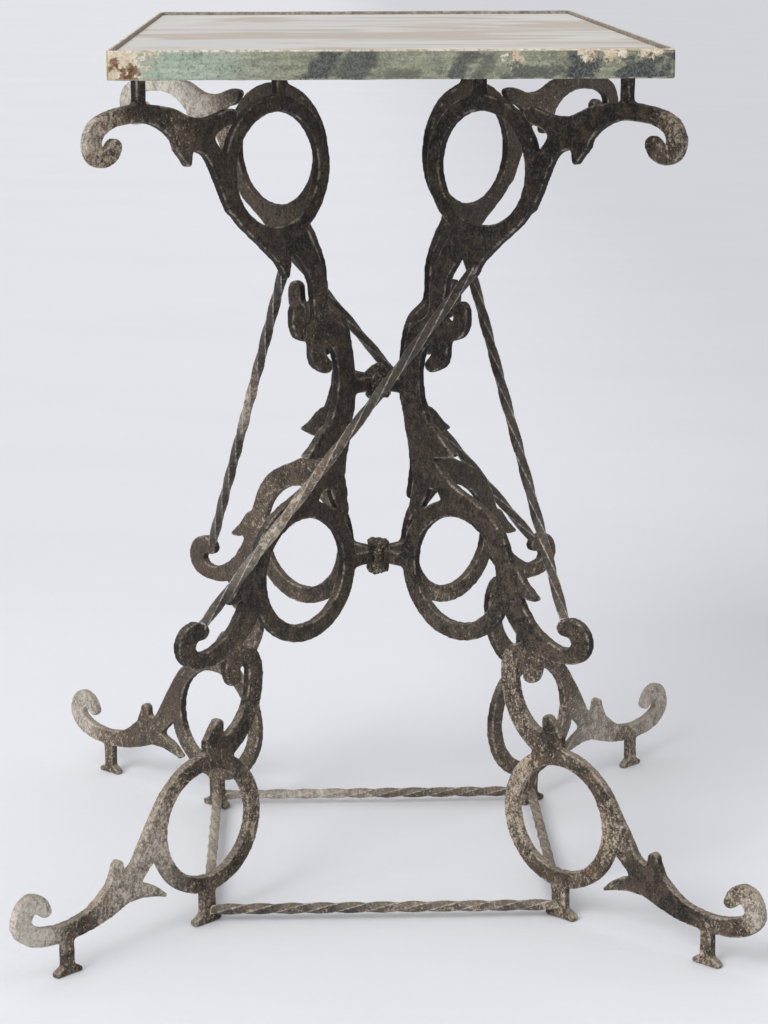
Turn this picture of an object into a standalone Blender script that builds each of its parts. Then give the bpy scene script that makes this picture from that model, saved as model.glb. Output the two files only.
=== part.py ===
"""Bistro table: a long framed top carried by four flat scrolled cast-iron legs.

The legs are one shape, set on the two diagonals of a square, so every leg drawing below is in
leg coordinates: s runs outward from the table's centre line, z runs up from the floor.
Leg drawings are in millimetres, everything else in metres.
"""
import math

import bmesh
import bpy
import numpy as np
from mathutils import Matrix, Vector
from mathutils.geometry import tessellate_polygon

MM = 0.001
GAP = 0.0003                 # clearance left between pieces that touch

# Table top
HEIGHT = 0.740
TOP_WIDTH = 0.403            # left to right
TOP_DEPTH = 0.751            # front to back
RIM_HEIGHT = 0.021
RIM_WALL = 0.003
FLANGE_WIDTH = 0.025
FLANGE_THICKNESS = 0.003
PANEL_RECESS = 0.0030        # panel surface below the rim's edge
CROSS_BAR_WIDTH = 0.025
INNER_POST_REACH = 0.116     # s of the leg's inner post, which the cross bars carry

# Legs
PLATE_THICKNESS = 0.008
LEG_ANGLES = {"front_right": -45, "back_right": 45, "back_left": 135, "front_left": -135}
DRAWING_STEP = 1.0           # mm between the points where the leg's shape is measured
DRAWING_WIDTH = 430.0
FILLET = 2.5                 # mm, how softly two strokes of the leg run together
OUTLINE_TOLERANCE = 0.25     # mm

# Bars
BAR_SIDE = 0.0072
BRACE_TWIST = 0.038          # bar length for a quarter turn, left-handed
FLOOR_BAR_TWIST = 0.026
SECTIONS_PER_QUARTER = 5
BEAK_JOINT = (112.5, 546.0)
HOOK_JOINT = (213.8, 258.0)
FLOOR_JOINT = (212.5, 10.8)

# Hubs on the centre line
UPPER_HUB_WIDTH = 0.021
UPPER_HUB_SIDES = 8
LOWER_HUB_RADIUS = 0.0095
LOWER_HUB_SIDES = 24
HUB_SPLIT_Z = 350.0          # mm, lugs above this meet the upper hub
# Share of the hub's radius and z, from bottom to top
UPPER_HUB_PROFILE = [(0.78, 0.4233), (1.0, 0.4268), (1.0, 0.4445), (0.62, 0.4490), (0.22, 0.4528)]
LOWER_HUB_PROFILE = [(0.90, 0.2676), (1.0, 0.2700), (1.0, 0.2893), (0.92, 0.2903), (0.92, 0.2911),
                     (1.0, 0.2920), (1.0, 0.2940), (0.74, 0.2963)]

# Rings of the leg: s, z, inner radius, outer radius
RINGS = [
    (121.0, 629.0, 47.0, 60.5),
    (93.5, 284.0, 46.5, 61.5),
    (212.0, 88.0, 46.2, 60.5),
]

# Strokes of the leg, as a pen of changing width draws them: s, z, half width
STROKES = {
    "arm_root": [(170, 603, 8), (178, 622, 9), (189, 642.5, 8.5), (196.5, 651.5, 8.3), (206, 661, 12)],
    "top_scroll": [(206, 662, 13), (214, 663, 13), (225, 667, 12.5), (238, 675, 10.5), (253, 680, 8),
                   (270, 682.7, 7.2), (290, 681.3, 6.8), (301, 679.2, 6.8), (310.5, 675, 7.5),
                   (316, 669.5, 8), (318.3, 661, 8.3), (315.5, 653.5, 8), (308, 650.5, 7.5),
                   (300.5, 652.8, 7.5), (296, 658, 7)],
    "arm_inner_spur": [(206, 664, 11), (190, 669.5, 7.5), (176, 674.5, 7), (169, 677.5, 3.5)],
    "arm_down_spur": [(225, 656, 9), (221, 647, 5.5), (219.5, 640, 2.5)],
    "neck": [(106, 578, 18), (96, 566, 11), (87, 556, 10), (81.5, 547.5, 9.5), (76.5, 539.5, 9.2),
             (73.3, 530, 9.1), (72.3, 519, 9), (72, 509, 8.8), (70, 499, 9.5)],
    "beak": [(140, 583, 12), (127, 572, 12), (117, 561, 10), (113, 551, 6.5), (111.5, 543, 3.8),
             (111, 540, 2.5)],
    "small_scroll": [(78, 491, 9), (88, 489.5, 7.5), (95.5, 493, 7.8), (98.3, 500.5, 8), (98, 509, 7.5)],
    "hanging_curl": [(74, 486, 10.5), (75.5, 475, 9), (74, 466, 8.5), (66.5, 459.5, 6.5), (64.5, 458.5, 6)],
    "waist_arc": [(72, 495, 10), (60, 488, 11), (50, 481, 11.5), (45, 470, 10.8), (42, 455, 10.3),
                  (41.5, 440, 10.8), (43, 423, 12), (48, 409, 13), (52, 393, 14), (55, 378, 13)],
    "waist_spur": [(62, 393, 14), (72, 388.5, 9.5), (82, 385.5, 5), (90, 384, 2)],
    "leaf": [(54, 372, 11), (54, 355, 9.5), (48, 337, 7), (45, 330.5, 5.5)],
    "stem": [(60, 368, 12), (66, 364, 11.5), (82, 352.5, 9.3), (97, 346, 8), (115, 339, 7.5),
             (130, 329.5, 8), (141, 316, 8), (147, 301, 8), (152, 287, 9), (157, 272, 10)],
    "stem_spur": [(158, 290, 8), (167, 281, 6.5), (176, 276, 4.5), (182.5, 273.5, 2)],
    "hook": [(150, 284, 9), (156, 268, 11), (166, 252.5, 11), (180, 240, 9.5), (200, 231.5, 7.7),
             (212, 230.6, 6.8), (222, 232, 7.2), (229.5, 237, 8.5), (232.2, 245, 9.6),
             (228.5, 252.5, 9.2), (221.5, 256, 8.2), (213.3, 254.6, 6.7)],
    "low_curl": [(178, 228, 10), (180.5, 217, 8.5), (179, 209, 8), (176, 206, 5.5)],
    "loop": [(168, 226, 7), (158.5, 223, 7.5), (154.5, 212, 8.2), (154.5, 200, 8.2), (156.5, 188, 8.3),
             (161, 176.5, 8.5), (168, 165.5, 8.8), (178, 156, 9.5), (190, 149.5, 10.5), (203, 146, 11)],
    "low_spur": [(203, 156, 10), (199, 167, 6.8), (197.5, 171, 5.3)],
    "strut": [(240, 130, 8), (255, 120, 8), (264, 106, 9), (271, 93, 10.5), (280, 79, 10.5),
              (290, 67, 8.7), (300, 58, 12)],
    "foot_scroll": [(303, 56, 13), (315, 51.5, 13), (327, 45.5, 11), (340, 40, 9), (354, 37.3, 8),
                    (368, 36.2, 7.5), (382, 36.8, 7.8), (395, 39.3, 8.2), (405.5, 44, 8.5), (413, 53, 8.5),
                    (409.5, 64.5, 9.2), (402.5, 68.8, 8.3), (394, 66, 7.2), (388.5, 59.5, 5.5)],
    "foot_up_spur": [(314, 60, 9), (311.5, 72, 6), (311.3, 77, 5)],
    "foot_inner_spur": [(297, 50.5, 8), (285, 48.5, 6.2), (273, 44.5, 4.5), (262, 38.5, 1.8)],
    "upper_lug": [(41, 436.5, 7), (30, 436.7, 6.3), (5, 436.7, 6.2)],
    "lower_lug": [(42, 283, 8), (30, 283, 6.2), (5, 283, 6)],
}

# Straight-sided parts of the leg: posts up to the top, feet down to the floor
POST_TOP = (HEIGHT - RIM_HEIGHT - GAP) / MM
BLOCKS = {
    "inner_post": [(110.5, 680), (121.5, 680), (121.5, 725), (110.5, 725)],
    "outer_post": [(260.5, 683), (264.5, 691), (264.5, 725), (274.2, 725), (274.2, 691), (278.2, 683)],
    "outer_foot": [(353, -5), (353, 3), (361, 8), (361, 34), (371.8, 34), (371.8, 8), (380, 3), (380, -5)],
    "inner_foot": [(198.5, -5), (198.5, 4.5), (205, 9), (205, 34), (219.5, 34), (219.5, 9), (229, 4.5),
                   (229, -5)],
}

# Open windows between strokes that would otherwise run together
WINDOWS = {
    "arm_window": [(174, 663), (176.5, 666), (181, 666), (187, 663), (190.5, 659), (189, 655),
                   (182.5, 648), (179, 655)],
    "leaf_window": [(71, 353), (76, 345), (67, 339.5), (60, 335.5), (51, 328.5), (56, 337), (62, 346)],
}


def clear_scene():
    for old in list(bpy.data.objects):
        bpy.data.objects.remove(old, do_unlink=True)


def material(name, colour, roughness, metallic):
    made = bpy.data.materials.new(name)
    made.use_nodes = True
    made.diffuse_color = (*colour, 1.0)
    shader = made.node_tree.nodes["Principled BSDF"]
    shader.inputs["Base Color"].default_value = (*colour, 1.0)
    shader.inputs["Roughness"].default_value = roughness
    shader.inputs["Metallic"].default_value = metallic
    return made


def add_object(name, mesh, finish, placement=None):
    made = bpy.data.objects.new(name, mesh)
    if placement is not None:
        made.matrix_world = placement
    made.data.materials.clear()
    made.data.materials.append(finish)
    bpy.context.scene.collection.objects.link(made)
    return made


def mesh_from(name, corners, faces):
    mesh = bpy.data.meshes.new(name)
    mesh.from_pydata([tuple(corner) for corner in corners], [], faces)
    shape = bmesh.new()
    shape.from_mesh(mesh)
    bmesh.ops.recalc_face_normals(shape, faces=shape.faces)
    shape.to_mesh(mesh)
    shape.free()
    return mesh


def prism(name, rings):
    """Solid skin through a list of cross-sections that all have the same number of corners."""
    count = len(rings[0])
    corners = [corner for ring in rings for corner in ring]
    faces = [list(range(count)), list(range(len(corners) - count, len(corners)))]
    for level in range(len(rings) - 1):
        low, high = level * count, (level + 1) * count
        for i in range(count):
            j = (i + 1) % count
            faces.append([low + i, low + j, high + j, high + i])
    return mesh_from(name, corners, faces)


# ---------------------------------------------------------------- leg outline

def smooth_line(points, pieces=4):
    """Catmull-Rom curve through the points of a stroke, width included."""
    line = [np.array(point, float) for point in points]
    line = [2 * line[0] - line[1]] + line + [2 * line[-1] - line[-2]]
    curve = []
    for before, start, end, after in zip(line, line[1:], line[2:], line[3:]):
        for k in range(pieces):
            t = k / pieces
            curve.append(0.5 * (2 * start + (end - before) * t
                                + (2 * before - 5 * start + 4 * end - after) * t * t
                                + (3 * start - before - 3 * end + after) * t ** 3))
    curve.append(line[-2])
    return curve


def distance_to_stroke(s, z, points):
    """Signed distance to a stroke, negative inside it."""
    nearest = np.full(s.shape, np.inf)
    curve = smooth_line(points)
    for (s0, z0, w0), (s1, z1, w1) in zip(curve, curve[1:]):
        ds, dz = s1 - s0, z1 - z0
        along = np.clip(((s - s0) * ds + (z - z0) * dz) / (ds * ds + dz * dz), 0, 1)
        reach = np.hypot(s - s0 - along * ds, z - z0 - along * dz)
        nearest = np.minimum(nearest, reach - w0 - along * (w1 - w0))
    return nearest


def distance_to_polygon(s, z, corners):
    """Signed distance to a straight-sided shape, negative inside it."""
    nearest = np.full(s.shape, np.inf)
    inside = np.zeros(s.shape, bool)
    for (s0, z0), (s1, z1) in zip(corners, corners[1:] + corners[:1]):
        ds, dz = s1 - s0, z1 - z0
        along = np.clip(((s - s0) * ds + (z - z0) * dz) / (ds * ds + dz * dz), 0, 1)
        nearest = np.minimum(nearest, np.hypot(s - s0 - along * ds, z - z0 - along * dz))
        if dz:
            inside ^= ((z0 > z) != (z1 > z)) & (s < s0 + (z - z0) * ds / dz)
    return np.where(inside, -nearest, nearest)


def blend(first, second):
    """Union of two shapes with a soft fillet where they meet."""
    near = np.maximum(FILLET - np.abs(first - second), 0.0) / FILLET
    return np.minimum(first, second) - near * near * FILLET / 4


def leg_field():
    """Signed distance to the whole leg on a square grid over its drawing."""
    s_values = np.arange(0.0, DRAWING_WIDTH, DRAWING_STEP) - 0.5 * DRAWING_STEP
    z_values = np.arange(-2.0, HEIGHT / MM, DRAWING_STEP) - 0.5 * DRAWING_STEP
    s, z = np.meshgrid(s_values, z_values, indexing="ij")
    shape = np.full(s.shape, 100.0)
    for ring_s, ring_z, inner, outer in RINGS:
        radius = np.hypot(s - ring_s, z - ring_z)
        shape = blend(shape, np.abs(radius - (inner + outer) / 2) - (outer - inner) / 2)
    for points in STROKES.values():
        shape = blend(shape, distance_to_stroke(s, z, points))
    for corners in BLOCKS.values():
        shape = blend(shape, distance_to_polygon(s, z, corners))
    for ring_s, ring_z, inner, outer in RINGS:
        shape = np.maximum(shape, inner - np.hypot(s - ring_s, z - ring_z))
    for corners in WINDOWS.values():
        shape = np.maximum(shape, -distance_to_polygon(s, z, corners))
    hub_face = np.where(z > HUB_SPLIT_Z, UPPER_HUB_WIDTH / 2, LOWER_HUB_RADIUS) / MM + GAP / MM
    shape = np.maximum(shape, hub_face - s)
    shape = np.maximum(shape, np.maximum(-z, z - POST_TOP))
    return s_values, z_values, shape


def contours(s_values, z_values, shape, level):
    """Closed outlines where the field crosses the level, material on the left."""
    field = shape - level
    inside = field < 0

    def crossing(i, j, axis):
        k, m = (i + 1, j) if axis == 0 else (i, j + 1)
        part = field[i, j] / (field[i, j] - field[k, m])
        return (s_values[i] + part * (s_values[k] - s_values[i]),
                z_values[j] + part * (z_values[m] - z_values[j]))

    following = {}
    mixed = (inside[:-1, :-1].astype(int) + inside[1:, :-1] + inside[:-1, 1:] + inside[1:, 1:]) % 4
    for i, j in np.argwhere(mixed):
        ring = [(i, j), (i + 1, j), (i + 1, j + 1), (i, j + 1)]
        edges = [(i, j, 0), (i + 1, j, 1), (i, j + 1, 0), (i, j, 1)]
        starts, ends = [], []
        for n in range(4):
            here, after = inside[ring[n]], inside[ring[(n + 1) % 4]]
            if here and not after:
                starts.append(n)
            elif after and not here:
                ends.append(n)
        for n in starts:
            m = min(ends, key=lambda e: (e - n) % 4)
            ends.remove(m)
            following[edges[n]] = edges[m]
    loops = []
    while following:
        first = next(iter(following))
        loop, edge = [], first
        while edge in following:
            loop.append(crossing(*edge))
            edge = following.pop(edge)
        loops.append(np.array(loop))
    return loops


def simplify(points):
    """Fewest points that stay within the outline tolerance (Douglas-Peucker)."""
    if len(points) < 3:
        return list(points)
    start, end = points[0], points[-1]
    chord = end - start
    length = np.hypot(*chord)
    offset = points - start
    if length < 1e-9:
        gaps = np.hypot(offset[:, 0], offset[:, 1])
    else:
        gaps = np.abs(chord[0] * offset[:, 1] - chord[1] * offset[:, 0]) / length
    worst = int(np.argmax(gaps))
    if gaps[worst] <= OUTLINE_TOLERANCE:
        return [start, end]
    return simplify(points[:worst + 1])[:-1] + simplify(points[worst:])


def leg_loops(level=0.0):
    loops = []
    for loop in contours(*leg_field(), level):
        far = int(np.argmax(np.hypot(*(loop - loop[0]).T)))
        closed = np.vstack([loop, loop[:1]])
        loops.append(simplify(closed[:far + 1])[:-1] + simplify(closed[far:])[:-1])
    return loops


def leg_mesh(name, level=0.0, thickness=PLATE_THICKNESS):
    """Plate cut to the leg's outline, standing in the XZ plane with s along +X."""
    loops = [[Vector((point[0], point[1], 0.0)) for point in loop] for loop in leg_loops(level)]
    flat = [point for loop in loops for point in loop]
    front = [(point.x * MM, -thickness / 2, point.y * MM) for point in flat]
    back = [(point.x * MM, thickness / 2, point.y * MM) for point in flat]
    faces = []
    for triangle in tessellate_polygon(loops):
        faces.append(list(triangle))
        faces.append([corner + len(flat) for corner in triangle])
    base = 0
    for loop in loops:
        for i in range(len(loop)):
            here, after = base + i, base + (i + 1) % len(loop)
            faces.append([here, after, after + len(flat), here + len(flat)])
        base += len(loop)
    return mesh_from(name, front + back, faces)


def leg_turn(angle):
    return Matrix.Rotation(math.radians(angle), 4, "Z")


def leg_point(angle, joint):
    return leg_turn(angle) @ Vector((joint[0] * MM, 0.0, joint[1] * MM))


# ---------------------------------------------------------------- bars

def twisted_bar(name, start, end, twist_length):
    """Square bar that turns about its own axis as it runs from start to end."""
    axis = end - start
    steps = round(axis.length / twist_length * SECTIONS_PER_QUARTER)
    frame = axis.to_track_quat("Z", "Y").to_matrix()
    rings = []
    for k in range(steps + 1):
        turn = -math.pi / 2 * (k / steps) * axis.length / twist_length
        ring = []
        for quarter in range(4):
            angle = turn + math.pi / 4 + quarter * math.pi / 2
            corner = Vector((math.cos(angle), math.sin(angle), 0.0)) * (BAR_SIDE / math.sqrt(2))
            ring.append(start + axis * (k / steps) + frame @ corner)
        rings.append(ring)
    return prism(name, rings)


def cut(target, cutter_mesh, placement):
    """Take the cutter's volume away from the target and bake the result."""
    cutter = bpy.data.objects.new("cutter", cutter_mesh)
    cutter.matrix_world = placement
    bpy.context.scene.collection.objects.link(cutter)
    step = target.modifiers.new("cut", "BOOLEAN")
    step.operation = "DIFFERENCE"
    step.solver = "EXACT"
    step.object = cutter
    bpy.context.view_layer.update()
    baked = bpy.data.meshes.new_from_object(target.evaluated_get(bpy.context.evaluated_depsgraph_get()))
    target.modifiers.clear()
    target.data = baked
    bpy.data.objects.remove(cutter, do_unlink=True)


def keep_largest_body(mesh):
    """Drop the crumbs a cut leaves beside the main body."""
    shape = bmesh.new()
    shape.from_mesh(mesh)
    unseen, bodies = set(shape.verts), []
    while unseen:
        stack, body = [unseen.pop()], []
        while stack:
            vertex = stack.pop()
            body.append(vertex)
            for edge in vertex.link_edges:
                other = edge.other_vert(vertex)
                if other in unseen:
                    unseen.remove(other)
                    stack.append(other)
        bodies.append(body)
    bodies.sort(key=len)
    bmesh.ops.delete(shape, geom=[vertex for body in bodies[:-1] for vertex in body], context="VERTS")
    shape.to_mesh(mesh)
    shape.free()


def bar_between(name, first_leg, first_joint, second_leg, second_joint, twist, clearance_mesh, finish):
    start = leg_point(LEG_ANGLES[first_leg], first_joint)
    end = leg_point(LEG_ANGLES[second_leg], second_joint)
    bar = add_object(name, twisted_bar(name, start, end, twist), finish)
    for leg in (first_leg, second_leg):
        cut(bar, clearance_mesh, leg_turn(LEG_ANGLES[leg]))
    keep_largest_body(bar.data)
    return bar


# ---------------------------------------------------------------- top

def rail(name, half_length, half_across, turn, finish):
    """Angle-iron rail along local X at local -Y, mitred at both ends."""
    wall, flange = RIM_WALL, FLANGE_WIDTH
    low, step, high = HEIGHT - RIM_HEIGHT, HEIGHT - RIM_HEIGHT + FLANGE_THICKNESS, HEIGHT
    section = [(0.0, low), (flange, low), (flange, step), (wall, step), (wall, high), (0.0, high)]
    trim = GAP / 2 * math.sqrt(2)
    rings = []
    for side in (-1, 1):
        rings.append([Vector((side * (half_length - depth - trim), -half_across + depth, z))
                      for depth, z in section])
    return add_object(name, prism(name, rings), finish, Matrix.Rotation(math.radians(turn), 4, "Z"))


def box(name, low, high, finish):
    rings = [[Vector((x, y, z)) for x, y in
              ((low[0], low[1]), (high[0], low[1]), (high[0], high[1]), (low[0], high[1]))]
             for z in (low[2], high[2])]
    return add_object(name, prism(name, rings), finish)


def turned(name, profile, sides, start_angle, finish):
    """Solid of revolution with flat sides; profile is radius and z from bottom to top."""
    rings = []
    for radius, z in profile:
        rings.append([Vector((radius * math.cos(start_angle + k * math.tau / sides),
                              radius * math.sin(start_angle + k * math.tau / sides), z))
                      for k in range(sides)])
    return add_object(name, prism(name, rings), finish)


def build_top(rim_finish, panel_finish, bar_finish):
    half_width, half_depth = TOP_WIDTH / 2, TOP_DEPTH / 2
    rail("rim_front", half_width, half_depth, 0, rim_finish)
    rail("rim_back", half_width, half_depth, 180, rim_finish)
    rail("rim_right", half_depth, half_width, 90, rim_finish)
    rail("rim_left", half_depth, half_width, -90, rim_finish)
    inset = RIM_WALL + GAP
    flange_top = HEIGHT - RIM_HEIGHT + FLANGE_THICKNESS
    box("top_panel",
        (-half_width + inset, -half_depth + inset, flange_top + GAP),
        (half_width - inset, half_depth - inset, HEIGHT - PANEL_RECESS), panel_finish)
    reach = half_width - FLANGE_WIDTH - GAP
    centre = INNER_POST_REACH / math.sqrt(2)
    for name, y in (("cross_bar_front", -centre), ("cross_bar_back", centre)):
        box(name, (-reach, y - CROSS_BAR_WIDTH / 2, HEIGHT - RIM_HEIGHT),
            (reach, y + CROSS_BAR_WIDTH / 2, flange_top), bar_finish)


def build_hubs(finish):
    side_turn = math.pi / UPPER_HUB_SIDES
    corner = UPPER_HUB_WIDTH / 2 / math.cos(side_turn)
    turned("upper_hub", [(corner * share, z) for share, z in UPPER_HUB_PROFILE],
           UPPER_HUB_SIDES, side_turn, finish)
    turned("lower_hub", [(LOWER_HUB_RADIUS * share, z) for share, z in LOWER_HUB_PROFILE],
           LOWER_HUB_SIDES, math.pi / LOWER_HUB_SIDES, finish)


def build_legs(finish):
    shared = leg_mesh("leg_plate")
    for place, angle in LEG_ANGLES.items():
        add_object("leg_" + place, shared, finish, leg_turn(angle))


def build_bars(finish):
    clearance = leg_mesh("leg_clearance", level=GAP / MM, thickness=PLATE_THICKNESS + 2 * GAP)
    places = list(LEG_ANGLES)
    for i, place in enumerate(places):
        neighbour = places[i - 1]
        bar_between("brace_" + place, place, BEAK_JOINT, neighbour, HOOK_JOINT, BRACE_TWIST,
                    clearance, finish)
    sides = {"right": ("front_right", "back_right"), "back": ("back_right", "back_left"),
             "left": ("back_left", "front_left"), "front": ("front_left", "front_right")}
    for side, (first, second) in sides.items():
        bar_between("floor_bar_" + side, first, FLOOR_JOINT, second, FLOOR_JOINT, FLOOR_BAR_TWIST,
                    clearance, finish)


clear_scene()
cast_iron = material("cast_iron_brown_black", (0.055, 0.042, 0.033), 0.62, 0.75)
bar_iron = material("wrought_iron_dark", (0.070, 0.058, 0.047), 0.58, 0.80)
hub_iron = material("hub_iron_dark", (0.045, 0.037, 0.031), 0.60, 0.80)
rim_paint = material("rim_flaking_green_paint", (0.36, 0.43, 0.36), 0.65, 0.0)
panel_finish = material("panel_pale_stone", (0.72, 0.70, 0.68), 0.35, 0.0)
underside_iron = material("underside_iron", (0.10, 0.08, 0.065), 0.70, 0.60)

build_top(rim_paint, panel_finish, underside_iron)
build_hubs(hub_iron)
build_legs(cast_iron)
build_bars(bar_iron)
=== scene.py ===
"""Looks of the bistro table: worn cast iron, flaking rim paint and a pale stone panel."""
import math

import bmesh
import bpy
from mathutils import Matrix, Vector

MM = 0.001
LEGS = ["leg_front_right", "leg_back_right", "leg_back_left", "leg_front_left"]
RAILS = ["rim_front", "rim_back", "rim_left", "rim_right"]
CROSS_BARS = ["cross_bar_front", "cross_bar_back"]
HUBS = ["upper_hub", "lower_hub"]

# Camera, in metres and radians
CAMERA_PLACE = Vector((-0.0651, -2.2788, 0.8343))
CAMERA_YAW, CAMERA_PITCH, CAMERA_ROLL = 0.0309, 0.2216, -0.0027
CAMERA_LENS, CAMERA_SENSOR = 124.7, 36.0

# Studio: light is (direction it comes from, strength, spread in degrees)
FLOOR_COLOUR = (0.850, 0.862, 0.902)
FLOOR_RADIUS = 40.0
FLOOR_SIDES = 96
FLOOR_DROP = 0.0004          # keeps the floor clear of the feet
KEY_LIGHT = ((-1.7, -2.2, 2.1), 1.60, 30.0)
OVERHEAD_LIGHT = ((-0.2, -0.5, 3.0), 0.58, 60.0)
WORLD_COLOUR, WORLD_STRENGTH = (0.985, 0.985, 1.0), 0.56

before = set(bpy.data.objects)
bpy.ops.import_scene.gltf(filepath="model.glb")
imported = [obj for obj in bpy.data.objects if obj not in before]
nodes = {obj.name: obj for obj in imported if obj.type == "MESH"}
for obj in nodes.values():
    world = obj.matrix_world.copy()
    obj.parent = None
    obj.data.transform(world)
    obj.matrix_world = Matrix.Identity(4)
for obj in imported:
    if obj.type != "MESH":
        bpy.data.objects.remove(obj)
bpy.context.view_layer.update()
BARS = [name for name in nodes if name.startswith(("brace_", "floor_bar_"))]


def node_box(name):
    """Lowest and highest corner of one CAD node."""
    corners = [nodes[name].matrix_world @ Vector(corner) for corner in nodes[name].bound_box]
    return Vector(map(min, *corners)), Vector(map(max, *corners))


# Rim, in metres, from its front and right rails. A pair is where a tone starts and where it is full
front_low, front_high = node_box("rim_front")
_, right_high = node_box("rim_right")
RIM_Y = front_low.y - 0.0005   # just ahead of the front face
RIM_MIDDLE_Z = (front_low.z + front_high.z) / 2
TOP_EDGE_Z = (front_high.z - 0.0018, front_high.z - 0.0006)
LOW_EDGE_Z = (front_low.z + 0.0016, front_low.z + 0.0006)
INNER_SIDE_X = (right_high.x - 0.0019, right_high.x - 0.0027)
INNER_SIDE_Y = (-front_low.y - 0.0019, -front_low.y - 0.0027)


# ---------------------------------------------------------------- node helpers

class Shader:
    """A material under construction, with short calls for the nodes it is made of."""

    def __init__(self, name):
        self.material = bpy.data.materials.new(name)
        self.material.use_nodes = True
        self.tree = self.material.node_tree
        self.principled = self.tree.nodes["Principled BSDF"]
        self.place = self.tree.nodes.new("ShaderNodeTexCoord").outputs["Object"]
        split = self.node("ShaderNodeSeparateXYZ", Vector=self.place)
        self.x, self.y, self.z = split.outputs

    def node(self, kind, settings=None, **inputs):
        made = self.tree.nodes.new(kind)
        for key, value in (settings or {}).items():
            setattr(made, key, value)
        for key, value in inputs.items():
            self.feed(made.inputs[key.replace("_", " ")], value)
        return made

    def feed(self, socket, value):
        if isinstance(value, bpy.types.NodeSocket):
            self.tree.links.new(value, socket)
        elif isinstance(value, tuple) and len(value) == 3 and socket.type == "RGBA":
            socket.default_value = (*value, 1.0)
        else:
            socket.default_value = value

    def math(self, operation, *values, clamp=False):
        made = self.node("ShaderNodeMath", {"operation": operation, "use_clamp": clamp})
        for socket, value in zip(made.inputs, values):
            self.feed(socket, value)
        return made.outputs[0]

    def stretch(self, scale, shift=(0.0, 0.0, 0.0)):
        made = self.node("ShaderNodeMapping", Vector=self.place, Scale=scale, Location=shift)
        return made.outputs[0]

    def noise(self, scale, detail=4.0, rough=0.55, place=None, distortion=0.0):
        made = self.node("ShaderNodeTexNoise", Vector=place or self.place, Scale=scale, Detail=detail,
                         Roughness=rough, Distortion=distortion)
        return made.outputs[0]

    def ramp(self, value, low, high, bottom=0.0, top=1.0):
        """Soft step of value from low to high."""
        made = self.node("ShaderNodeMapRange", {"interpolation_type": "SMOOTHSTEP"})
        for key, number in (("Value", value), ("From Min", low), ("From Max", high),
                            ("To Min", bottom), ("To Max", top)):
            self.feed(made.inputs[key], number)
        return made.outputs[0]

    def mix(self, share, first, second):
        """First colour where share is 0, second where it is 1."""
        made = self.node("ShaderNodeMix", {"data_type": "RGBA"})
        for index, value in ((0, share), (6, first), (7, second)):
            self.feed(made.inputs[index], value)
        return made.outputs[2]

    def times(self, first, second):
        return self.math("MULTIPLY", first, second)

    def zone(self, centre, radius, strength):
        """Soft ball of influence round a place on the table."""
        away = self.node("ShaderNodeVectorMath", {"operation": "DISTANCE"})
        self.feed(away.inputs[0], self.place)
        away.inputs[1].default_value = centre
        return self.ramp(away.outputs["Value"], radius, 0.25 * radius, 0.0, strength)

    def zones(self, areas):
        """The strongest of several zones at each place."""
        total = 0.0
        for area in areas:
            total = self.math("MAXIMUM", total, self.zone(*area))
        return total

    def edge(self, low, high):
        """Raised edges, from the curvature of the fine mesh."""
        geometry = self.node("ShaderNodeNewGeometry")
        return self.ramp(geometry.outputs["Pointiness"], low, high)

    def finish(self, colour, roughness, *bumps):
        """Feed the surface; each bump is (height, depth in metres)."""
        self.feed(self.principled.inputs["Base Color"], colour)
        self.feed(self.principled.inputs["Roughness"], roughness)
        target = self.principled
        for height, depth in reversed(bumps):
            made = self.node("ShaderNodeBump", Height=height, Distance=depth, Strength=1.0)
            self.feed(target.inputs["Normal"], made.outputs[0])
            target = made
        return self.material


def leg_place(quarter, s, z):
    """A place on a leg: quarter as (right, back) signs, s outward from the axis and z up, in mm."""
    across = s * MM / math.sqrt(2)
    return (quarter[0] * across, quarter[1] * across, z * MM)


def facing_up(shader):
    """How far the surface faces up, from -1 to 1."""
    coordinates = shader.node("ShaderNodeTexCoord")
    return shader.node("ShaderNodeSeparateXYZ", Vector=coordinates.outputs["Normal"]).outputs[2]


def plate_side(shader):
    """1 on the thickness of a leg's plate and 0 on its broad faces, from the diagonal it stands on."""
    coordinates = shader.node("ShaderNodeTexCoord")
    nx, ny, _ = shader.node("ShaderNodeSeparateXYZ", Vector=coordinates.outputs["Normal"]).outputs
    diagonal = shader.math("SIGN", shader.times(shader.x, shader.y))
    broad = shader.math("ABSOLUTE", shader.math("SUBTRACT", nx, shader.times(diagonal, ny)))
    return shader.math("SUBTRACT", 1.0, shader.times(broad, 1.0 / math.sqrt(2)))


def over(shader, value, start, drop, amount, softness):
    """Mask of the places where value passes a threshold that falls by drop as amount goes to 1."""
    threshold = shader.math("SUBTRACT", start, shader.times(amount, drop))
    return shader.ramp(shader.math("SUBTRACT", value, threshold), 0.0, softness)


FRONT_LEFT, FRONT_RIGHT, BACK_LEFT, BACK_RIGHT = (-1, -1), (1, -1), (-1, 1), (1, 1)


# ---------------------------------------------------------------- materials

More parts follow.
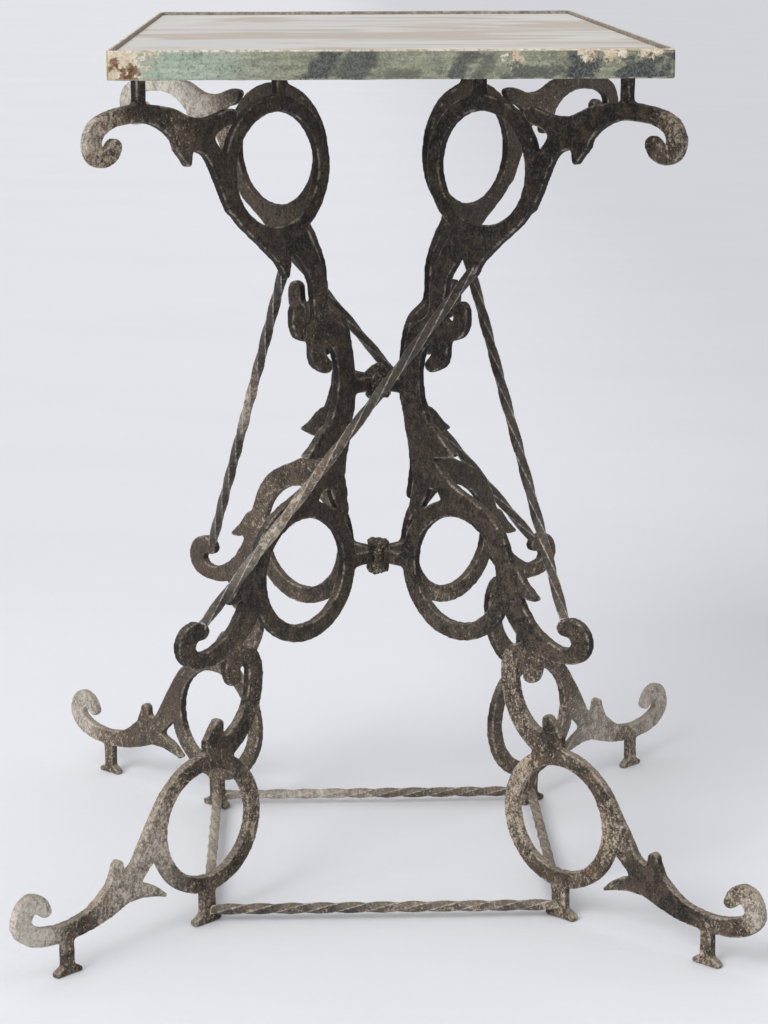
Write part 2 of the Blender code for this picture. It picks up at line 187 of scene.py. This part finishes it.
def cast_iron(name, wear_areas, pale_areas=(), dark_areas=(), back_tint=0.0, edge_wear_and_light=0.7,
              gloss=0.0, grit=1.0, edge_shade=0.0):
    """Brown-black iron under worn beige scale: grains everywhere, smears where it is most worn.

    Areas are (place, radius, strength). Pale ones get a smooth film, dark ones lose their wear.
    """
    shader = Shader(name)
    cloud = shader.noise(15.0, 4.0, 0.6)
    mottle = shader.noise(85.0, 6.0, 0.70, distortion=0.3)
    smear = shader.noise(1.0, 6.0, 0.76, place=shader.stretch((190.0, 190.0, 130.0), (1.3, 2.1, 0.4)),
                         distortion=0.6)
    grain = shader.noise(430.0, 4.0, 0.80)
    pits = shader.noise(520.0, 3.0, 0.75, place=shader.stretch((1.0, 1.0, 1.0), (5.1, 2.7, 8.3)))
    up = facing_up(shader)

    colour = shader.mix(shader.ramp(cloud, 0.38, 0.62), (0.010, 0.0095, 0.009), (0.042, 0.032, 0.024))
    colour = shader.mix(shader.ramp(mottle, 0.44, 0.64, 0.0, 0.80), colour, (0.095, 0.071, 0.053))
    at_back = shader.ramp(shader.y, 0.02, 0.12, 0.0, back_tint)
    colour = shader.mix(at_back, colour, (0.125, 0.098, 0.074))
    blotch = shader.noise(1.0, 5.0, 0.78, place=shader.stretch((260.0, 260.0, 190.0)))
    colour = shader.mix(shader.ramp(blotch, 0.50, 0.64, 0.0, 0.55), colour, (0.120, 0.096, 0.076))
    colour = shader.mix(shader.ramp(blotch, 0.47, 0.38, 0.0, 0.65), colour, (0.009, 0.0085, 0.008))
    light_grit = shader.ramp(pits, 0.46, 0.37, 0.0, 0.34 * grit)
    colour = shader.mix(light_grit, colour, (0.165, 0.138, 0.112))

    low = shader.ramp(shader.z, 0.36, 0.08, 0.0, 0.55)
    worn = shader.math("MAXIMUM", low, shader.zones(wear_areas))
    unrest = shader.times(shader.math("SUBTRACT", cloud, 0.5), 1.8)
    unrest = shader.times(unrest, shader.ramp(worn, 0.0, 0.4))
    worn = shader.math("ADD", worn, unrest, clamp=True)
    worn = shader.math("SUBTRACT", worn, shader.zones(dark_areas), clamp=True)
    pale = shader.zones(pale_areas)

    patina = shader.times(shader.ramp(mottle, 0.38, 0.62, 0.20, 1.0), worn)
    colour = shader.mix(shader.times(patina, 0.80), colour, (0.180, 0.136, 0.098))
    smear_mask = over(shader, smear, 0.66, 0.19, worn, 0.08)
    smear_tone = shader.mix(shader.ramp(mottle, 0.35, 0.65), (0.37, 0.285, 0.200), (0.60, 0.495, 0.375))
    colour = shader.mix(shader.times(smear_mask, 0.78), colour, smear_tone)
    # Painted shade: thickness faces of the plates that do not face up go near black, less where worn.
    painted_side_shade = shader.times(shader.ramp(plate_side(shader), 0.35, 0.80),
                        shader.ramp(up, 0.45, 0.25))
    painted_side_shade = shader.times(painted_side_shade, shader.ramp(worn, 0.55, 0.15, 0.10, edge_shade))
    colour = shader.mix(painted_side_shade, colour, (0.008, 0.008, 0.0085))
    film = shader.times(pale, shader.ramp(mottle, 0.32, 0.58, 0.45, 1.0))
    film_tone = shader.mix(shader.ramp(smear, 0.40, 0.60), (0.46, 0.410, 0.350), (0.63, 0.585, 0.520))
    colour = shader.mix(film, colour, film_tone)
    grain_mask = over(shader, grain, 0.655, 0.145, worn, 0.045)
    grain_tone = shader.mix(pale, (0.60, 0.515, 0.405), (0.74, 0.71, 0.65))
    colour = shader.mix(shader.times(grain_mask, 0.68), colour, grain_tone)

    rust_start = 0.57 - 0.05 * gloss
    rust = shader.ramp(shader.noise(48.0, 6.0, 0.75), rust_start, rust_start + 0.11, 0.0, 0.55)
    rust = shader.times(rust, shader.math("ADD", worn, 0.10 + 0.25 * gloss, clamp=True))
    colour = shader.mix(rust, colour, (0.180, 0.080, 0.036))

    # Painted top light: surfaces that face up are paled in a fine speckle, weaker high up under the
    # table top.
    painted_top_light = shader.times(shader.ramp(up, 0.30, 0.85),
                        shader.ramp(grain, 0.38, 0.56, 0.20, 0.75 - 0.45 * gloss))
    painted_top_light = shader.times(painted_top_light, shader.ramp(shader.z, 0.18, 0.26, 1.0, 0.30))
    colour = shader.mix(painted_top_light, colour, (0.37, 0.310, 0.240))
    # Pale edges from the mesh's curvature: partly worn metal, partly a painted highlight on the rounded
    # edges.
    rub_and_light_start = 0.46 - 0.08 * gloss
    rubbed_and_lit_edge = shader.times(shader.edge(0.514, 0.545),
                          shader.ramp(mottle, rub_and_light_start, rub_and_light_start + 0.14, 0.08 + 0.35 * gloss, 1.0))
    rubbed_and_lit_edge = shader.times(rubbed_and_lit_edge, shader.ramp(grain, 0.40, 0.54, 0.25, 1.0))
    colour = shader.mix(shader.times(rubbed_and_lit_edge, edge_wear_and_light), colour, (0.56, 0.505, 0.425))
    dark_pits = shader.times(shader.ramp(pits, 0.53, 0.62, 0.0, 0.55 * grit),
                             shader.math("SUBTRACT", 1.0, shader.times(pale, 0.60)))
    colour = shader.mix(dark_pits, colour, (0.010, 0.009, 0.008))
    shader.principled.inputs["Specular IOR Level"].default_value = 0.20 + 0.35 * gloss
    roughness = shader.ramp(mottle, 0.3, 0.7, 0.48 - 0.15 * gloss, 0.78 - 0.20 * gloss)
    return shader.finish(colour, roughness, (mottle, 0.0011), (grain, 0.0005), (pits, 0.0003))


def rim_paint():
    """Green paint over cream undercoat, worn to dark metal in places and rusting at a corner."""
    shader = Shader("rim_paint_visual")
    brushed = shader.noise(1.0, 6.0, 0.65, place=shader.stretch((30.0, 30.0, 260.0)))
    clouds_seen = shader.noise(55.0, 6.0, 0.68, distortion=0.4)
    patches = shader.noise(1.0, 6.0, 0.70, place=shader.stretch((38.0, 38.0, 52.0), (3.1, 0.7, 1.9)),
                           distortion=0.5)
    flakes = shader.noise(190.0, 7.0, 0.74, distortion=0.4)
    speckle = shader.noise(640.0, 4.0, 0.78)

    green = shader.mix(shader.ramp(brushed, 0.35, 0.65), (0.195, 0.202, 0.134), (0.315, 0.320, 0.232))
    mint = shader.mix(shader.ramp(brushed, 0.35, 0.65), (0.33, 0.42, 0.335), (0.47, 0.54, 0.45))
    green = shader.mix(shader.ramp(shader.x, -0.075, -0.145, 0.0, 0.80), green, mint)
    green = shader.mix(shader.ramp(clouds_seen, 0.50, 0.68, 0.0, 0.60), green, (0.145, 0.155, 0.110))
    green = shader.mix(shader.ramp(flakes, 0.50, 0.68, 0.0, 0.55), green, (0.120, 0.132, 0.100))
    green = shader.mix(shader.ramp(speckle, 0.53, 0.64, 0.0, 0.62), green, (0.075, 0.085, 0.070))
    green = shader.mix(shader.ramp(speckle, 0.45, 0.34, 0.0, 0.45), green, (0.56, 0.58, 0.49))

    lean = shader.times(shader.math("SUBTRACT", shader.z, RIM_MIDDLE_Z), 0.60)
    slanted = shader.math("SUBTRACT", shader.x, lean)
    wander = shader.times(shader.math("SUBTRACT", patches, 0.5), 0.050)
    fray = shader.times(shader.math("SUBTRACT", flakes, 0.5), 0.020)
    wander = shader.math("ADD", wander, fray)
    bare = shader.ramp(patches, 0.60, 0.70, 0.0, 0.60)
    # Dark patches, slanted: middle on X, half width, top edge on Z, strength
    for centre, half, top, strength in (
            (-0.051, 0.010, 0.745, 0.95), (-0.025, 0.009, 0.738, 0.85), (0.050, 0.008, 0.745, 0.85),
            (0.067, 0.005, 0.745, 0.70), (0.104, 0.021, 0.7265, 0.80), (0.139, 0.012, 0.7335, 1.0),
            (0.180, 0.014, 0.736, 1.0), (0.197, 0.007, 0.745, 0.95), (0.012, 0.012, 0.7245, 0.55)):
        across = shader.math("ABSOLUTE", shader.math("SUBTRACT", slanted, centre))
        across = shader.math("ADD", across, wander)
        below = shader.ramp(shader.math("ADD", shader.z, wander), top + 0.002, top - 0.002)
        patch = shader.ramp(across, half + 0.003, half - 0.004, 0.0, strength)
        bare = shader.math("MAXIMUM", bare, shader.times(patch, below))
    dark = shader.mix(shader.ramp(speckle, 0.44, 0.60), (0.028, 0.032, 0.034), (0.120, 0.129, 0.112))
    colour = shader.mix(bare, green, dark)

    cream_bias = shader.zones([
        ((-0.204, RIM_Y, 0.730), 0.047, 0.42), ((-0.168, RIM_Y, 0.739), 0.012, 0.20),
        ((0.086, RIM_Y, 0.737), 0.016, 0.26),
        ((0.139, RIM_Y, 0.738), 0.014, 0.28), ((0.158, RIM_Y, 0.740), 0.018, 0.30),
        ((0.184, RIM_Y, 0.740), 0.016, 0.29),
    ])
    cream = shader.ramp(shader.math("ADD", flakes, cream_bias), 0.68, 0.78, 0.0, 0.90)
    undercoat = shader.mix(shader.ramp(clouds_seen, 0.40, 0.60), (0.80, 0.73, 0.58), (0.60, 0.48, 0.32))
    undercoat = shader.mix(shader.ramp(speckle, 0.50, 0.66, 0.0, 0.6), undercoat, (0.36, 0.29, 0.21))
    colour = shader.mix(cream, colour, undercoat)
    stain_bias = shader.zones([
        ((-0.186, RIM_Y, 0.7225), 0.014, 0.24), ((-0.196, RIM_Y, 0.731), 0.009, 0.20),
        ((0.084, RIM_Y, 0.735), 0.012, 0.08), ((0.143, RIM_Y, 0.7385), 0.010, 0.10),
        ((0.166, RIM_Y, 0.740), 0.012, 0.10), ((0.198, RIM_Y, 0.740), 0.010, 0.12),
    ])
    stain = shader.noise(210.0, 6.0, 0.72)
    stained = shader.math("ADD", stain, stain_bias)
    colour = shader.mix(shader.ramp(stained, 0.60, 0.68, 0.0, 0.75), colour, (0.150, 0.098, 0.058))
    colour = shader.mix(shader.ramp(stained, 0.68, 0.73, 0.0, 0.85), colour, (0.250, 0.096, 0.030))
    colour = shader.mix(shader.ramp(stained, 0.74, 0.79, 0.0, 0.80), colour, (0.060, 0.032, 0.020))

    fine_lines = shader.stretch((9.0, 9.0, 620.0), (0.3, 0.0, 0.17))
    scratches = shader.noise(1.0, 3.0, 0.5, place=fine_lines)
    scratched = shader.times(shader.ramp(scratches, 0.66, 0.70), shader.ramp(shader.x, -0.03, 0.06))
    colour = shader.mix(shader.times(scratched, 0.55), colour, (0.52, 0.50, 0.42))
    top_edge = shader.ramp(shader.z, *TOP_EDGE_Z)
    edge_tone = shader.mix(shader.ramp(flakes, 0.42, 0.60), (0.80, 0.73, 0.60), (0.42, 0.31, 0.20))
    colour = shader.mix(shader.times(top_edge, 0.85), colour, edge_tone)
    low_edge = shader.times(shader.ramp(shader.z, *LOW_EDGE_Z), shader.ramp(flakes, 0.46, 0.56))
    colour = shader.mix(shader.times(low_edge, 0.70), colour, (0.46, 0.41, 0.34))
    inside = shader.times(shader.ramp(shader.math("ABSOLUTE", shader.x), *INNER_SIDE_X),
                          shader.ramp(shader.math("ABSOLUTE", shader.y), *INNER_SIDE_Y))
    inner_tone = shader.mix(shader.ramp(flakes, 0.40, 0.64),
                            (0.185, 0.150, 0.120), (0.40, 0.345, 0.285))
    colour = shader.mix(inside, colour, inner_tone)
    roughness = shader.ramp(flakes, 0.3, 0.7, 0.55, 0.85)
    relief = shader.math("SUBTRACT", shader.times(flakes, 0.6), shader.times(bare, 0.4))
    relief = shader.math("ADD", relief, shader.times(cream, -0.35))
    return shader.finish(colour, roughness, (relief, 0.0007), (speckle, 0.0003))


def pale_stone():
    """Satin pale grey stone with soft brown bands that run along X."""
    shader = Shader("panel_stone_visual")
    along = shader.stretch((5.0, 11.0, 1.0), (0.4, 2.3, 0.0))
    bands = shader.noise(1.0, 4.0, 0.52, place=along, distortion=1.0)
    veins = shader.noise(1.0, 6.0, 0.62, place=shader.stretch((20.0, 42.0, 1.0)), distortion=1.2)
    grain = shader.noise(380.0, 5.0, 0.65)
    tone = shader.ramp(shader.noise(4.0, 3.0), 0.35, 0.65)
    colour = shader.mix(tone, (0.612, 0.600, 0.580), (0.668, 0.645, 0.612))
    middle = shader.times(shader.ramp(shader.math("ABSOLUTE", shader.y), 0.30, 0.05, 0.0, 0.10),
                          shader.ramp(shader.x, -0.12, 0.0))
    bands = shader.math("ADD", bands, middle)
    colour = shader.mix(shader.ramp(bands, 0.47, 0.66, 0.0, 0.80), colour, (0.470, 0.395, 0.318))
    colour = shader.mix(shader.ramp(veins, 0.54, 0.74, 0.0, 0.28), colour, (0.42, 0.36, 0.30))
    colour = shader.mix(shader.ramp(grain, 0.60, 0.74, 0.0, 0.25), colour, (0.33, 0.29, 0.26))
    roughness = shader.ramp(veins, 0.3, 0.7, 0.42, 0.58)
    return shader.finish(colour, roughness, (veins, 0.00008), (grain, 0.00005))


def floor_cloth():
    """Pale cool cloth with painted shade: a little darker in its folds, to the right and to the back.
    """
    shader = Shader("floor_cloth")
    folds = shader.noise(1.0, 3.0, 0.5, place=shader.stretch((1.4, 2.2, 1.4)))
    weave = shader.noise(60.0, 4.0, 0.6)
    # Painted shade in the cloth's folds.
    fold_shade_colour = tuple(0.985 * part for part in FLOOR_COLOUR)
    colour = shader.mix(shader.ramp(folds, 0.3, 0.7), FLOOR_COLOUR, fold_shade_colour)
    # Painted shade, darker towards the right and the back.
    shade = shader.math("ADD", shader.ramp(shader.x, 0.0, 1.0, 0.0, 0.15),
                        shader.ramp(shader.y, 0.10, 1.20, 0.0, 0.12))
    colour = shader.mix(shade, colour, (0.0, 0.0, 0.0))
    return shader.finish(colour, 0.9, (folds, 0.010), (weave, 0.0004))


# ---------------------------------------------------------------- shape refinement

def clouds(name, size, depth):
    """Lumps of about size metres, with depth layers of finer ones."""
    texture = bpy.data.textures.new(name, "CLOUDS")
    texture.noise_scale = size
    texture.noise_depth = depth
    return texture


def refine(obj, voxel, smoothing, relief):
    """Round the edges of a CAD solid and give its skin the unevenness of a casting.

    voxel is the size of the fine mesh's squares, relief is pairs of texture and height, in metres.
    """
    remesh = obj.modifiers.new("fine_mesh", "REMESH")
    remesh.mode = "VOXEL"
    remesh.voxel_size = voxel
    remesh.use_smooth_shade = True
    smooth = obj.modifiers.new("worn_edges", "SMOOTH")
    smooth.factor = 0.5
    smooth.iterations = smoothing
    for texture, strength in relief:
        bump = obj.modifiers.new("uneven_skin", "DISPLACE")
        bump.texture = texture
        bump.texture_coords = "LOCAL"
        bump.strength = strength
        bump.mid_level = 0.5


def paint(obj, material):
    obj.data.materials.clear()
    obj.data.materials.append(material)


broad_lumps = clouds("broad_lumps", 0.028, 2)
casting_lumps = clouds("casting_lumps", 0.007, 3)
pits = clouds("pits", 0.0022, 2)

# Areas of each iron: place, radius and strength
leg_wear = [
    (leg_place(BACK_LEFT, 250, 672), 0.130, 1.0), (leg_place(BACK_RIGHT, 245, 672), 0.090, 0.45),
    (leg_place(FRONT_LEFT, 318, 668), 0.060, 0.85), (leg_place(FRONT_RIGHT, 318, 672), 0.045, 0.70),
    (leg_place(FRONT_LEFT, 260, 660), 0.075, 0.50),
    (leg_place(FRONT_LEFT, 405, 52), 0.090, 1.0), (leg_place(FRONT_RIGHT, 405, 56), 0.060, 0.65),
    (leg_place(BACK_LEFT, 395, 52), 0.110, 0.85), (leg_place(BACK_RIGHT, 360, 45), 0.160, 0.80),
    (leg_place(FRONT_RIGHT, 160, 190), 0.080, 0.70), (leg_place(FRONT_RIGHT, 165, 85), 0.100, 0.85),
    (leg_place(FRONT_RIGHT, 262, 88), 0.048, 1.0), (leg_place(FRONT_LEFT, 300, 55), 0.090, 0.85),
    (leg_place(BACK_LEFT, 230, 100), 0.090, 0.50), (leg_place(BACK_RIGHT, 250, 110), 0.100, 0.75),
    (leg_place(BACK_LEFT, 105, 320), 0.110, 0.55), (leg_place(BACK_RIGHT, 95, 225), 0.070, 0.55),
    (leg_place(FRONT_LEFT, 262, 95), 0.085, 1.0), (leg_place(FRONT_LEFT, 75, 490), 0.050, 0.35),
    (leg_place(FRONT_LEFT, 212, 20), 0.040, 0.70), (leg_place(FRONT_RIGHT, 212, 20), 0.040, 0.70),
]
leg_pale = [
    (leg_place(BACK_LEFT, 408, 55), 0.045, 0.60), (leg_place(FRONT_LEFT, 412, 50), 0.055, 0.95),
    (leg_place(FRONT_RIGHT, 417, 58), 0.022, 0.50), (leg_place(FRONT_LEFT, 290, 70), 0.070, 0.40),
    (leg_place(FRONT_RIGHT, 110, 70), 0.050, 0.45), (leg_place(BACK_LEFT, 270, 682), 0.110, 1.0),
    (leg_place(BACK_RIGHT, 300, 55), 0.060, 0.45), (leg_place(BACK_RIGHT, 400, 60), 0.060, 0.70),
    (leg_place(FRONT_LEFT, 325, 668), 0.022, 0.45),
]
bar_wear = [
    ((-0.115, 0.000, 0.395), 0.085, 0.90), ((-0.10, -0.15, 0.010), 0.090, 0.55),
    ((-0.05, 0.15, 0.010), 0.130, 1.0), ((0.09, 0.15, 0.010), 0.080, 0.50),
    ((-0.15, 0.03, 0.010), 0.150, 0.85), ((0.15, 0.03, 0.010), 0.130, 0.80),
    ((0.03, -0.15, 0.010), 0.090, 0.45), ((-0.06, -0.12, 0.330), 0.110, 0.75),
    ((0.09, 0.02, 0.300), 0.060, 0.45),
]
bar_pale = [
    ((-0.15, 0.03, 0.010), 0.120, 0.45), ((-0.075, -0.13, 0.315), 0.080, 0.25),
    ((-0.115, 0.000, 0.390), 0.060, 0.40), ((-0.08, 0.15, 0.010), 0.100, 0.60),
]
leg_dark = [
    (leg_place(FRONT_RIGHT, 318, 50), 0.060, 0.60), (leg_place(BACK_LEFT, 262, 95), 0.050, 0.45),
    (leg_place(FRONT_RIGHT, 205, 30), 0.040, 0.30), (leg_place(BACK_LEFT, 350, 40), 0.050, 0.30),
]

iron = cast_iron("cast_iron_visual", leg_wear, leg_pale, leg_dark, back_tint=0.50, edge_shade=0.65)
for name in LEGS:
    refine(nodes[name], 0.0012, 4, [(broad_lumps, 0.0008), (casting_lumps, 0.0006)])
    paint(nodes[name], iron)

bar_iron = cast_iron("bar_iron_visual", bar_wear, bar_pale, back_tint=0.25, edge_wear_and_light=1.0,
                     gloss=0.8, grit=0.6)
for name in BARS:
    refine(nodes[name], 0.0007, 1, [(casting_lumps, 0.0007)])
    paint(nodes[name], bar_iron)

hub_iron = cast_iron("hub_iron_visual", [((0.0, -0.01, 0.272), 0.010, 0.6)])
for name in HUBS:
    refine(nodes[name], 0.0006, 1, [(casting_lumps, 0.0050), (pits, 0.0020)])
    paint(nodes[name], hub_iron)

rim = rim_paint()
for name in RAILS:
    refine(nodes[name], 0.0010, 2, [(broad_lumps, 0.0006), (casting_lumps, 0.0003)])
    paint(nodes[name], rim)

for name in CROSS_BARS:
    refine(nodes[name], 0.0012, 2, [(broad_lumps, 0.0003)])
    paint(nodes[name], bar_iron)

panel = nodes["top_panel"]
worn_arris = panel.modifiers.new("worn_arris", "BEVEL")
worn_arris.width = 0.0012
worn_arris.segments = 3
worn_arris.limit_method = "ANGLE"
paint(panel, pale_stone())


# ---------------------------------------------------------------- studio

def floor():
    """Round floor that reaches past every camera."""
    mesh = bmesh.new()
    bmesh.ops.create_circle(mesh, cap_ends=True, segments=FLOOR_SIDES, radius=FLOOR_RADIUS)
    data = bpy.data.meshes.new("floor")
    mesh.to_mesh(data)
    mesh.free()
    made = bpy.data.objects.new("floor", data)
    bpy.context.scene.collection.objects.link(made)
    made.location.z = -FLOOR_DROP
    paint(made, floor_cloth())


def soft_sun(name, source, strength, spread):
    """Even light from the direction of source; spread is the angle its face fills, in degrees."""
    data = bpy.data.lights.new(name, "SUN")
    data.energy = strength
    data.angle = math.radians(spread)
    made = bpy.data.objects.new(name, data)
    made.location = source
    made.rotation_euler = (-Vector(source)).to_track_quat("-Z", "Y").to_euler()
    bpy.context.scene.collection.objects.link(made)


def camera():
    """Camera at the photograph's viewing angle."""
    sy, cy = math.sin(CAMERA_YAW), math.cos(CAMERA_YAW)
    sp, cp = math.sin(CAMERA_PITCH), math.cos(CAMERA_PITCH)
    forward = Vector((sy * cp, cy * cp, -sp))
    level_right = Vector((cy, -sy, 0.0))
    level_up = level_right.cross(forward)
    right = level_right * math.cos(CAMERA_ROLL) + level_up * math.sin(CAMERA_ROLL)
    up = level_up * math.cos(CAMERA_ROLL) - level_right * math.sin(CAMERA_ROLL)
    data = bpy.data.cameras.new("camera")
    data.sensor_fit = "HORIZONTAL"
    data.sensor_width = CAMERA_SENSOR
    data.lens = CAMERA_LENS
    made = bpy.data.objects.new("camera", data)
    turn = Matrix((right, up, -forward)).transposed()
    made.matrix_world = Matrix.Translation(CAMERA_PLACE) @ turn.to_4x4()
    bpy.context.scene.collection.objects.link(made)
    bpy.context.scene.camera = made


floor()
soft_sun("key", *KEY_LIGHT)
soft_sun("overhead", *OVERHEAD_LIGHT)

world = bpy.data.worlds.new("studio")
world.use_nodes = True
sky = world.node_tree.nodes["Background"]
sky.inputs["Color"].default_value = (*WORLD_COLOUR, 1.0)
sky.inputs["Strength"].default_value = WORLD_STRENGTH
bpy.context.scene.world = world
bpy.context.scene.view_settings.view_transform = "Standard"
camera()
